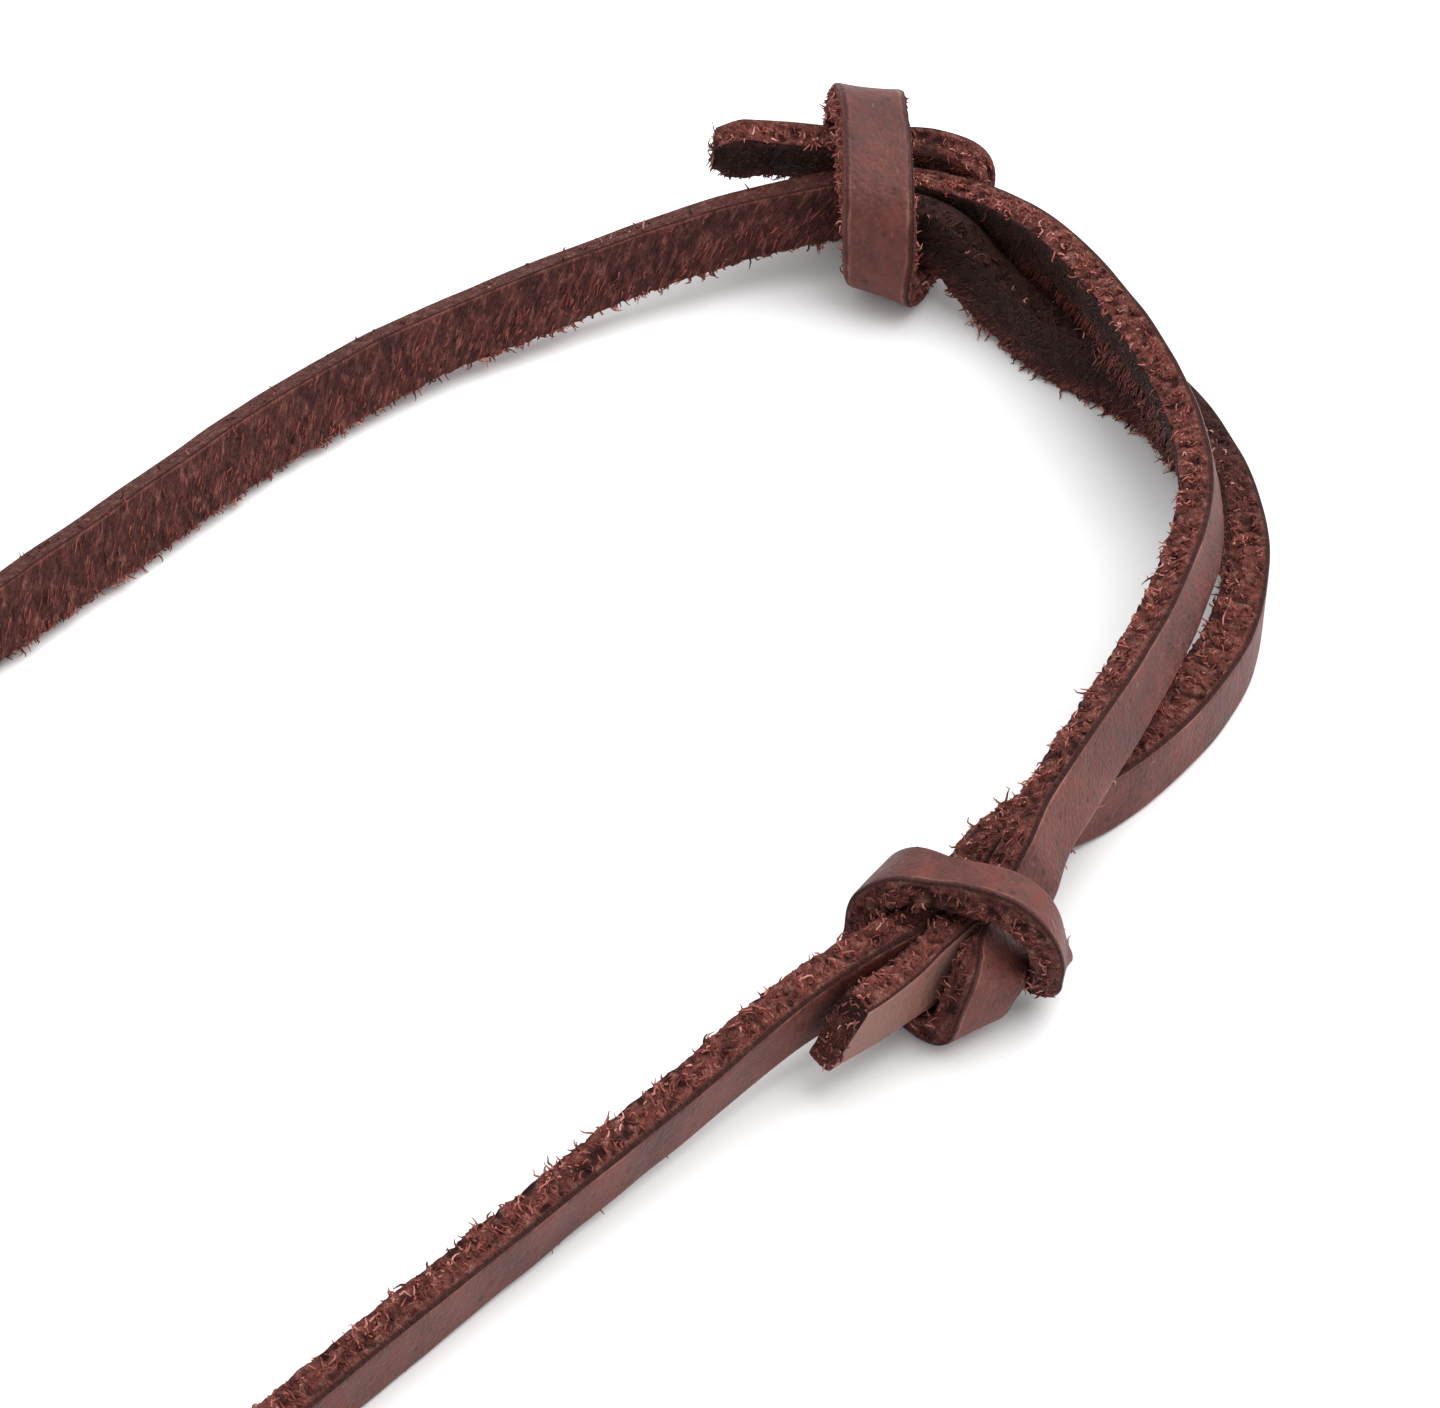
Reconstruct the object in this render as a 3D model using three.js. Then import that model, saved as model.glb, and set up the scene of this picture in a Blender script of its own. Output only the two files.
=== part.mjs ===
// Leather cord necklace: one flat lace closed by two sliding knots, lying on
// its cut edge. Millimetres, +Z up, the front of the loop towards -Y.
import * as THREE from 'three';

// ---- Driving dimensions ----
const LACE_WIDTH = 4.0;         // grain face, across
const LACE_THICKNESS = 2.1;     // grain to flesh
const TURN_WIDTH = 4.5;         // pulled flatter where a turn wraps a knot
const TURN_THICKNESS = 1.8;
const CORNER = 0.35;            // worn cut corners
const GAP = 0.6;                // between one stretch and the next
const BOX_MIDDLE = { x: 0.2, y: 2.0 };   // of the lace's plan, moved to the origin

// The front of the loop, the plain way round from one side to the other
const FRONT = { x: -4.3, y: -60, halfWidth: 28.7, depth: 40, stations: 9 };

// The two knots: where each core crosses, and the way its core runs
const UPPER_KNOT = { x: -17.3, y: 97.2, alongX: 0.766, alongY: 0.643 };
const LOWER_KNOT = { x: 26.2, y: 48.4, alongX: 0, alongY: -1 };

// ---- Stations: the lace's middle, and the way its upper cut edge points ----
const UP = new THREE.Vector3(0, 0, 1);

// Rows of [x, y, z, lean]: the lace stands on edge and leans outwards by lean degrees.
function standing(rows) {
  const at = rows.map(([x, y, z]) => new THREE.Vector3(x, y, z));
  return rows.map(([, , , lean], i) => {
    const before = at[Math.max(i - 1, 0)], after = at[Math.min(i + 1, at.length - 1)];
    const run = after.clone().sub(before).setZ(0).normalize();
    const outwards = new THREE.Vector3(-run.y, run.x, 0);
    const angle = THREE.MathUtils.degToRad(lean);
    const edge = UP.clone().multiplyScalar(Math.cos(angle)).addScaledVector(outwards, Math.sin(angle));
    return { at: at[i], edge };
  });
}

// Rows of [along, out, up, edge along, edge out, edge up] about a knot's core.
function knotted(knot, rows) {
  const along = new THREE.Vector3(knot.alongX, knot.alongY, 0);
  const out = new THREE.Vector3().crossVectors(UP, along);
  const turn = (a, b, c) => along.clone().multiplyScalar(a).addScaledVector(out, b).addScaledVector(UP, c);
  return rows.map(([a, b, c, ea, eb, ec]) => ({
    at: turn(a, b, c).add(new THREE.Vector3(knot.x, knot.y, 0)),
    edge: turn(ea, eb, ec).normalize(),
  }));
}

function frontOfLoop() {
  const rows = [];
  for (let i = 0; i < FRONT.stations; i++) {
    const angle = Math.PI * i / (FRONT.stations - 1);
    rows.push([FRONT.x + FRONT.halfWidth * Math.cos(angle), FRONT.y - FRONT.depth * Math.sin(angle), LACE_WIDTH / 2, 0]);
  }
  return rows;
}

const NECK = standing([
  // x, y, z, lean
  [26.7, 48.6, 4.05, 0], [26.8, 45.0, 4.05, 0], [26.2, 41.6, 4.2, 3], [25.5, 36.9, 4.25, 9],
  [24.9, 29.0, 3.4, 12], [24.3, 19.4, 2.6, 11], [24.0, 11.3, 2.25, 10], [23.9, 2.5, 2.15, 9],
  [24.2, -20, 2.05, 3], [24.5, -40, 2.0, 0],
  ...frontOfLoop(),
  [-33.1, -40, 2.0, 0], [-33.0, -20, 2.1, 6], [-32.5, 5, 2.2, 16], [-32.1, 30, 2.25, 23],
  [-32.2, 47.3, 2.25, 24], [-32.3, 57.0, 2.25, 23], [-31.0, 67.8, 2.55, 22], [-27.6, 78.6, 3.15, 20],
  [-23.8, 87.5, 3.9, 16], [-20.7, 92.5, 4.45, 10], [-17.3, 97.1, 4.6, 4],
]);

const INNER = standing([
  [-17.3, 97.1, 4.6, 4], [-12.5, 99.3, 4.75, -5], [-5.4, 98.3, 5.8, -9], [2.2, 94.9, 6.6, -13],
  [9.1, 91.0, 6.7, -16], [14.5, 86.7, 6.8, -14], [18.8, 81.7, 6.8, -12], [22.3, 74.5, 6.8, -12],
  [25.0, 66.4, 6.8, -14], [27.1, 58.7, 6.8, -18], [28.0, 55.0, 6.4, -20], [28.9, 52.6, 5.9, -21],
]);

const OUTER = [
  ...knotted(UPPER_KNOT, [
    [0.0, -2.65, 4.5, 0, 0, 1], [2.0, -2.9, 4.5, 0, 0, 1], [4.2, -4.15, 4.15, 0, 0, 1],
  ]),
  ...standing([
    [-8.1, 96.4, 2.75, 2], [-2.0, 94.9, 2.15, 4], [5.2, 94.7, 2.15, 10], [11.1, 92.3, 2.15, 8],
    [16.7, 88.4, 2.1, 5], [21.0, 83.8, 2.05, 3], [24.5, 77.3, 2.0, 1], [25.9, 70.6, 2.0, 1],
    [26.0, 63.8, 2.1, 1], [25.3, 59.4, 2.5, 0], [25.3, 56.0, 3.1, 0], [25.7, 52.6, 3.9, 0],
    [26.7, 48.6, 4.05, 0],
  ]),
];

const UPPER_TAIL = knotted(UPPER_KNOT, [
  // along, out, up, edge along, edge out, edge up
  [-9.5, 1.8, 7.0, 0, -0.35, 0.94], [-6.4, 2.2, 6.8, 0, -0.5, 0.85], [-2.5, 2.65, 6.0, 0, -0.45, 0.9],
  [0.5, 2.65, 5.85, 0, -0.4, 0.92], [3.1, 2.7, 6.0, 0.1, -0.55, 0.8], [4.9, 2.9, 5.4, 0.5, -0.75, 0.55],
  [5.6, 3.2, 3.9, 0.3, -1, 0.1], [5.2, 3.0, 2.3, 0.7, -0.7, 0.05], [3.8, 2.0, 1.15, 1, -0.3, 0],
]);

const UPPER_WRAP = knotted(UPPER_KNOT, [
  [3.8, 2.0, 1.15, 1, -0.3, 0], [2.2, 0, 1.15, 1, -0.25, -0.05], [0.7, -3.75, 1.25, 0.93, -0.35, -0.1],
  [0.05, -5.75, 2.6, 0.92, -0.4, -0.12], [-0.1, -5.6, 4.6, 0.96, -0.2, -0.1], [-0.3, -4.8, 7.35, 0.97, 0, -0.1],
  [-0.5, -1.3, 9.3, 0.95, 0.15, -0.2], [-0.7, 2.2, 9.8, 0.95, 0.15, -0.25], [-0.9, 5.0, 8.3, 1, 0, -0.1],
  [-1.2, 5.8, 5.0, 1, 0, 0], [-1.3, 4.9, 2.3, 1, 0, 0], [-1.4, 3.5, 1.05, 1, 0, 0], [-1.5, 2.3, 1.0, 1, 0, 0],
]);

const LOWER_TUCK = knotted(LOWER_KNOT, [
  [-4.2, 2.7, 5.9, 0.05, -0.36, 0.93], [-2.3, 3.15, 4.8, 0.2, -0.3, 0.93], [-0.3, 3.9, 4.2, 0.42, -0.28, 0.85],
  [1.4, 4.75, 4.3, 0.64, -0.33, 0.68], [2.9, 5.4, 4.05, 0.78, -0.22, 0.52], [3.6, 5.35, 3.1, 0.85, -0.2, 0.35],
  [3.8, 4.85, 1.75, 0.92, -0.15, 0.12], [3.6, 3.3, 0.95, 0.97, 0, 0], [3.3, 1.2, 0.95, 0.97, 0.1, 0],
]);

const LOWER_WRAP = knotted(LOWER_KNOT, [
  [3.3, 1.2, 0.95, 0.97, 0.1, 0], [3.1, -0.9, 1.0, 0.97, 0.15, 0], [2.9, -2.4, 2.1, 0.97, 0.15, 0.1],
  [2.6, -2.35, 3.9, 0.95, 0.15, 0.15], [2.3, -2.3, 5.6, 0.95, 0.2, 0.15], [1.9, -0.95, 7.15, 0.95, 0.25, 0.15],
  [1.3, 1.3, 7.65, 0.95, 0.28, 0.15], [0.6, 3.3, 7.9, 0.95, 0.3, 0.12], [0.1, 5.0, 7.8, 0.9, 0.42, 0.1],
  [-0.2, 5.9, 7.2, 0.86, 0.5, 0.02], [-0.4, 6.5, 6.2, 0.8, 0.58, -0.1], [-0.6, 6.7, 5.1, 0.77, 0.6, -0.2],
  [-1.1, 6.5, 3.8, 0.82, 0.48, -0.1], [-1.8, 6.2, 2.5, 0.9, 0.35, 0], [-2.4, 5.6, 1.7, 0.96, 0.2, 0.05],
]);

const LOWER_TAIL = knotted(LOWER_KNOT, [
  [4.3, 2.7, 4.25, 0, 0.03, 1], [6.5, 2.65, 4.3, 0, 0.15, 1], [9.0, 2.5, 4.35, 0, 0.2, 1],
  [11.4, 2.15, 4.4, 0, 0.22, 1],
]);

// ---- A stretch of lace along its stations ----
// The curve turns its section so that the cut edge follows the stations, where
// a plain curve would let it roll. It runs through a neighbour's station at
// each joined end, so that one stretch leaves the way the next one arrives.
class LaceRoute extends THREE.CatmullRomCurve3 {
  constructor(stations, before, after) {
    const all = [...before.slice(-2, -1), ...stations, ...after.slice(1, 2)];
    super(all.map((s) => s.at), false, 'centripetal');
    this.edges = all.map((s) => s.edge);
    this.first = before.length ? 1 : 0;
    this.last = this.first + stations.length - 1;
    this.shortAtStart = before.length ? GAP / 2 : 0;
    this.shortAtEnd = after.length ? GAP / 2 : 0;
    this.arcLengthDivisions = 40 * stations.length;
  }

  // Where t falls among the stations, with half a gap left at each joined end
  place(t) {
    const spacing = (i) => this.points[i].distanceTo(this.points[i + 1]);
    const from = this.first + this.shortAtStart / spacing(this.first);
    const to = this.last - this.shortAtEnd / spacing(this.last - 1);
    return from + (to - from) * t;
  }

  getPoint(t, target) {
    return super.getPoint(this.place(t) / (this.points.length - 1), target);
  }

  computeFrenetFrames(steps) {
    const tangents = [], normals = [], binormals = [];
    for (let i = 0; i <= steps; i++) {
      const u = i / steps;
      const place = this.place(this.getUtoTmapping(u));
      const from = Math.min(Math.floor(place), this.edges.length - 2);
      const tangent = this.getTangentAt(u);
      const edge = this.edges[from].clone().lerp(this.edges[from + 1], place - from);
      edge.addScaledVector(tangent, -edge.dot(tangent)).normalize();
      tangents.push(tangent);
      normals.push(edge);
      binormals.push(new THREE.Vector3().crossVectors(tangent, edge));
    }
    return { tangents, normals, binormals };
  }
}

function laceSection(width, thickness) {
  const w = width / 2, t = thickness / 2;
  return new THREE.Shape([
    [w, t - CORNER], [w - CORNER, t], [CORNER - w, t], [-w, t - CORNER],
    [-w, CORNER - t], [CORNER - w, -t], [w - CORNER, -t], [w, CORNER - t],
  ].map(([x, y]) => new THREE.Vector2(x, y)));
}

// Oiled brown leather: the turns show their smooth grain, the rest more of the
// rough cut edge and the napped flesh.
function leather(grained) {
  return new THREE.MeshStandardMaterial({
    color: grained ? 0x73504a : 0x63392f,
    roughness: grained ? 0.6 : 0.85,
    metalness: 0,
  });
}

function stretch(name, { before = [], stations, after = [], steps, width, thickness, grained = false }) {
  const geometry = new THREE.ExtrudeGeometry(laceSection(width, thickness), {
    steps,
    bevelEnabled: false,
    extrudePath: new LaceRoute(stations, before, after),
  });
  const mesh = new THREE.Mesh(geometry, leather(grained));
  mesh.position.set(-BOX_MIDDLE.x, -BOX_MIDDLE.y, 0);
  mesh.name = name;
  return mesh;
}

const lace = { width: LACE_WIDTH, thickness: LACE_THICKNESS };
const folded = { width: LACE_WIDTH, thickness: TURN_THICKNESS };
const wrapped = { width: TURN_WIDTH, thickness: TURN_THICKNESS, grained: true };

const necklace = new THREE.Group();
necklace.add(
  stretch('neck_lace', { before: OUTER, stations: NECK, after: INNER, steps: 64, ...lace }),
  stretch('inner_strand', { before: NECK, stations: INNER, after: LOWER_TUCK, steps: 20, ...lace }),
  stretch('outer_strand', { stations: OUTER, after: NECK, steps: 22, ...lace }),
  stretch('upper_knot_tail', { stations: UPPER_TAIL, after: UPPER_WRAP, steps: 20, ...folded }),
  stretch('upper_knot_wrap', { before: UPPER_TAIL, stations: UPPER_WRAP, steps: 28, ...wrapped }),
  stretch('lower_knot_tuck', { before: INNER, stations: LOWER_TUCK, after: LOWER_WRAP, steps: 16, ...folded, grained: true }),
  stretch('lower_knot_wrap', { before: LOWER_TUCK, stations: LOWER_WRAP, steps: 28, ...wrapped }),
  stretch('lower_knot_tail', { stations: LOWER_TAIL, steps: 8, ...folded }),
);
export default necklace;
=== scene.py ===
import math

import bpy
import numpy as np
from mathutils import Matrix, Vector, noise


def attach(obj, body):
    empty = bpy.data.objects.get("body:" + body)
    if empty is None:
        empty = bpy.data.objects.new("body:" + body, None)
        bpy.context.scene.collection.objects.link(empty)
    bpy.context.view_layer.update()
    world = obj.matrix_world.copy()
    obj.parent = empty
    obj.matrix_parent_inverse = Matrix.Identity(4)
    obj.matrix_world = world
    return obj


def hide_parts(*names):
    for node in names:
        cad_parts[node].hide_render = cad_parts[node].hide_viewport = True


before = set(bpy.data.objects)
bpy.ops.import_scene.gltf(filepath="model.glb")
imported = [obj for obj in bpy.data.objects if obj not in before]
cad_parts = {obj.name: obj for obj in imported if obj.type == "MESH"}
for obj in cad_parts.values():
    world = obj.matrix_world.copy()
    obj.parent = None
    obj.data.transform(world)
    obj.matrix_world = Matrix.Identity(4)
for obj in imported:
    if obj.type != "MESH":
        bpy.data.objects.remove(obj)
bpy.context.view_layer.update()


# ---------------------------------------------------------------- camera
# The necklace lies with its two knots to the back. It is seen from the front right, 40 degrees above
# the table, so close that only the knots and the lace beside them are in view.

AIM = Vector((0.0028, 0.0555, 0.0))
STAND_OFF = 0.340
AROUND, ABOVE = math.radians(40), math.radians(40)
SENSOR_WIDTH, FOCAL_LENGTH, NEAREST_SEEN = 36, 148.75, 0.02

lens = bpy.data.cameras.new("camera")
lens.sensor_width = SENSOR_WIDTH
lens.lens = FOCAL_LENGTH
lens.clip_start = NEAREST_SEEN
camera = bpy.data.objects.new("camera", lens)
towards_eye = Vector((math.sin(AROUND) * math.cos(ABOVE), -math.cos(AROUND) * math.cos(ABOVE),
                      math.sin(ABOVE)))
camera.location = AIM + towards_eye * STAND_OFF
camera.rotation_euler = (-towards_eye).to_track_quat("-Z", "Y").to_euler()
bpy.context.scene.collection.objects.link(camera)
bpy.context.scene.camera = camera


# ---------------------------------------------------------------- neck lace
# The long run of the lace: out of the lower knot, round the front and back up into the upper knot. It
# is one flat strap cut from oiled leather, smooth grain outwards and napped flesh inwards, held by the
# two knots and standing on one of its raw cut edges.

MM = 0.001                                  # the lace's own sizes are in mm
LACE_WIDTH, LACE_THICKNESS = 4.0, 2.1
TURN_WIDTH, TURN_THICKNESS = 4.5, 1.8       # pulled flatter in the knots
GRAIN_CORNER, FLESH_CORNER = 0.34, 0.24     # radius of the cut corners
TABLE_GAP = 0.02                            # the least height of leather over the table
MIDDLE = np.array([0.2, 2.0, 0.0])          # of the lace's plan, moved to the origin
UP = np.array([0.0, 0.0, 1.0])
GRAIN, FLESH, CUT = 0, 1, 2                 # the lace's faces, and their materials


def unit(v):
    return v / np.linalg.norm(v, axis=-1, keepdims=True)


def standing(rows):
    """Rows of x, y, z, lean: the lace stands on edge and leans outwards by lean degrees."""
    rows = np.array(rows, float)
    plan = rows[:, :2]
    run = unit(np.vstack([plan[1] - plan[0], plan[2:] - plan[:-2], plan[-1] - plan[-2]]))
    lean = np.radians(rows[:, 3:4])
    outwards = np.stack([-run[:, 1], run[:, 0], 0 * run[:, 0]], 1)
    return np.hstack([rows[:, :3], np.cos(lean) * UP + np.sin(lean) * outwards])


def knotted(knot, rows):
    """Rows of along, out, up, edge along, edge out, edge up, about a knot's core."""
    centre, along = np.array([*knot[:2], 0.0]), np.array([*knot[2:], 0.0])
    axes = np.stack([along, np.cross(UP, along), UP])
    rows = np.array(rows, float)
    return np.hstack([centre + rows[:, :3] @ axes, unit(rows[:, 3:] @ axes)])


# x, y of each knot's core and the way it runs, and half an ellipse round the front of the neck
UPPER_KNOT = (-17.3, 97.2, 0.766, 0.643)
LOWER_KNOT = (26.2, 48.4, 0.0, -1.0)
FRONT = [(-4.3 + 28.7 * math.cos(a), -60 - 40 * math.sin(a), 2.0, 0) for a in np.linspace(0, math.pi, 9)]
NECK = standing([
    (26.7, 48.6, 4.05, 0), (26.8, 45.0, 4.05, 0), (26.2, 41.6, 4.2, 3), (25.5, 36.9, 4.25, 9),
    (24.9, 29.0, 3.4, 12), (24.3, 19.4, 2.6, 11), (24.0, 11.3, 2.25, 10), (23.9, 2.5, 2.15, 9),
    (24.2, -20, 2.05, 3), (24.5, -40, 2.0, 0), *FRONT,
    (-33.1, -40, 2.0, 0), (-33.0, -20, 2.1, 6), (-32.5, 5, 2.2, 16), (-32.1, 30, 2.25, 23),
    (-32.2, 47.3, 2.25, 24), (-32.3, 57.0, 2.25, 23), (-31.0, 67.8, 2.55, 22), (-27.6, 78.6, 3.15, 20),
    (-23.8, 87.5, 3.9, 16), (-20.7, 92.5, 4.45, 10), (-17.3, 97.1, 4.6, 4),
])
INNER = standing([
    (-17.3, 97.1, 4.6, 4), (-12.5, 99.3, 4.75, -5), (-5.4, 98.3, 5.8, -9), (2.2, 94.9, 6.6, -13),
    (9.1, 91.0, 6.7, -16), (14.5, 86.7, 6.8, -14), (18.8, 81.7, 6.8, -12), (22.3, 74.5, 6.8, -12),
    (25.0, 66.4, 6.8, -14), (27.1, 58.7, 6.8, -18), (28.0, 55.0, 6.4, -20), (28.9, 52.6, 5.9, -21),
])
OUTER = np.vstack([
    knotted(UPPER_KNOT, [
        (0.0, -2.65, 4.5, 0, 0, 1), (2.0, -2.9, 4.5, 0, 0, 1), (4.2, -4.15, 4.15, 0, 0, 1),
    ]),
    standing([
        (-8.1, 96.4, 2.75, 2), (-2.0, 94.9, 2.15, 4), (5.2, 94.7, 2.15, 10), (11.1, 92.3, 2.15, 8),
        (16.7, 88.4, 2.1, 5), (21.0, 83.8, 2.05, 3), (24.5, 77.3, 2.0, 1), (25.9, 70.6, 2.0, 1),
        (26.0, 63.8, 2.1, 1), (25.3, 59.4, 2.5, 0), (25.3, 56.0, 3.1, 0), (25.7, 52.6, 3.9, 0),
        (26.7, 48.6, 4.05, 0),
    ]),
])


def run_of_lace(stations, step, before=None, after=None, extra=(0.0, 0.0)):
    """Middle points and cut edge directions every step mm along one smooth curve through the
    stations. It arrives from before and leaves for after, and may run extra mm into either."""
    rows = [stations] if before is None else [before[-4:-1], stations]
    rows += [] if after is None else [after[1:4]]
    first = 0 if before is None else len(before[-4:-1])
    rows = np.vstack(rows)
    rows[:, :3] -= MIDDLE
    last = first + len(stations) - 1
    fine, parts = [], 24
    for i in range(len(rows) - 1):
        p1, p2 = rows[i], rows[i + 1]
        p0 = rows[i - 1] if i else 2 * p1 - p2
        p3 = rows[i + 2] if i + 2 < len(rows) else 2 * p2 - p1
        d0, d1, d2 = (max(np.sum((a[:3] - b[:3]) ** 2) ** 0.25, 1e-4)
                      for a, b in ((p0, p1), (p1, p2), (p2, p3)))
        t1 = ((p1 - p0) / d0 - (p2 - p0) / (d0 + d1) + (p2 - p1) / d1) * d1
        t2 = ((p2 - p1) / d1 - (p3 - p1) / (d1 + d2) + (p3 - p2) / d2) * d1
        t = np.linspace(0, 1, parts, endpoint=False)[:, None]
        fine.append(p1 + t1 * t + (-3 * p1 + 3 * p2 - 2 * t1 - t2) * t ** 2
                    + (2 * p1 - 2 * p2 + t1 + t2) * t ** 3)
    fine = np.vstack([*fine, rows[-1:]])
    walked = np.concatenate([[0], np.cumsum(np.linalg.norm(np.diff(fine[:, :3], axis=0), axis=1))])
    start = walked[first * parts] - extra[0]
    end = walked[last * parts] + extra[1]
    at = np.linspace(start, end, max(4, round((end - start) / step) + 1))
    out = np.stack([np.interp(at, walked, fine[:, k]) for k in range(6)], 1)
    return out[:, :3], out[:, 3:], end - start


def lace_section(width, thickness):
    """The lace's cross section, counter-clockwise from the grain face: across, deep, their
    outward directions, and the face that follows each point."""
    w, t = width / 2, thickness / 2
    # each corner, its radius, the angle that it starts at, and the faces before and after it
    corners = [(-w, t, GRAIN_CORNER, 90, GRAIN, CUT), (-w, -t, FLESH_CORNER, 180, CUT, FLESH),
               (w, -t, FLESH_CORNER, 270, FLESH, CUT), (w, t, GRAIN_CORNER, 0, CUT, GRAIN)]

    def on_corner(corner, degrees):
        x, y, r = corner[:3]
        a = math.radians(degrees)
        return (x - math.copysign(r, x) + r * math.cos(a), y - math.copysign(r, y) + r * math.sin(a),
                math.cos(a), math.sin(a))

    points = []
    for corner, following, between_them in zip(corners, corners[1:] + corners[:1], (8, 15, 8, 7)):
        angle, here, then = corner[3:]
        for k, face in zip(range(4), (here, here, then, then)):
            points.append([*on_corner(corner, angle + 30 * k), face])
        last, goal = points[-1], on_corner(following, following[3])
        for k in range(1, between_them + 1):
            f = k / (between_them + 1)
            points.append([last[0] + (goal[0] - last[0]) * f, last[1] + (goal[1] - last[1]) * f,
                           *goal[2:], then])
    return np.array(points)


def ripple(at, size, seed):
    """Even roughness of about one size, from -1 to 1, at each point."""
    shift = Vector((seed * 17.3, seed * 5.1, seed * 9.7))
    return np.array([noise.noise(Vector(p) / size + shift) for p in at])


def between(s, start, end, rise, fall):
    """1 from start to end along the lace, coming in over rise mm and going out over fall mm."""
    return np.clip((s - start) / rise, 0, 1) * np.clip((end - s) / fall, 0, 1)


def closed_ends(verts, around, tangents, seed):
    """Both ends closed by three smaller and smaller rings and a tip, rough as they were cut. Returns
    each new point, the way out of its end, the ring and the section point that it comes from and its
    size, and then the new faces."""
    points, faces = [], []
    for end, sign in ((0, -1), (len(tangents) - 1, 1)):
        way_out = tangents[end] * sign
        ring = list(range(end * around, (end + 1) * around))
        rim = verts[ring]
        middle = rim.mean(0)
        for size in (0.8, 0.55, 0.3):
            inner = []
            for n in range(around):
                p = middle + (rim[n] - middle) * size
                out = 0.16 * noise.noise(Vector(p) / 0.5 + Vector((seed, 0, 0))) + 0.05
                points.append((p + way_out * out, way_out, end, n, size))
                inner.append(len(verts) + len(points) - 1)
            for n in range(around):
                m = (n + 1) % around
                quad = (ring[n], inner[n], inner[m], ring[m])
                faces.append(quad if sign < 0 else quad[::-1])
            ring = inner
        points.append((middle + way_out * 0.08, way_out, end, 0, 0.0))
        tip = len(verts) + len(points) - 1
        for n in range(around):
            tri = (ring[n], tip, ring[(n + 1) % around])
            faces.append(tri if sign < 0 else tri[::-1])
    return points, faces


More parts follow.
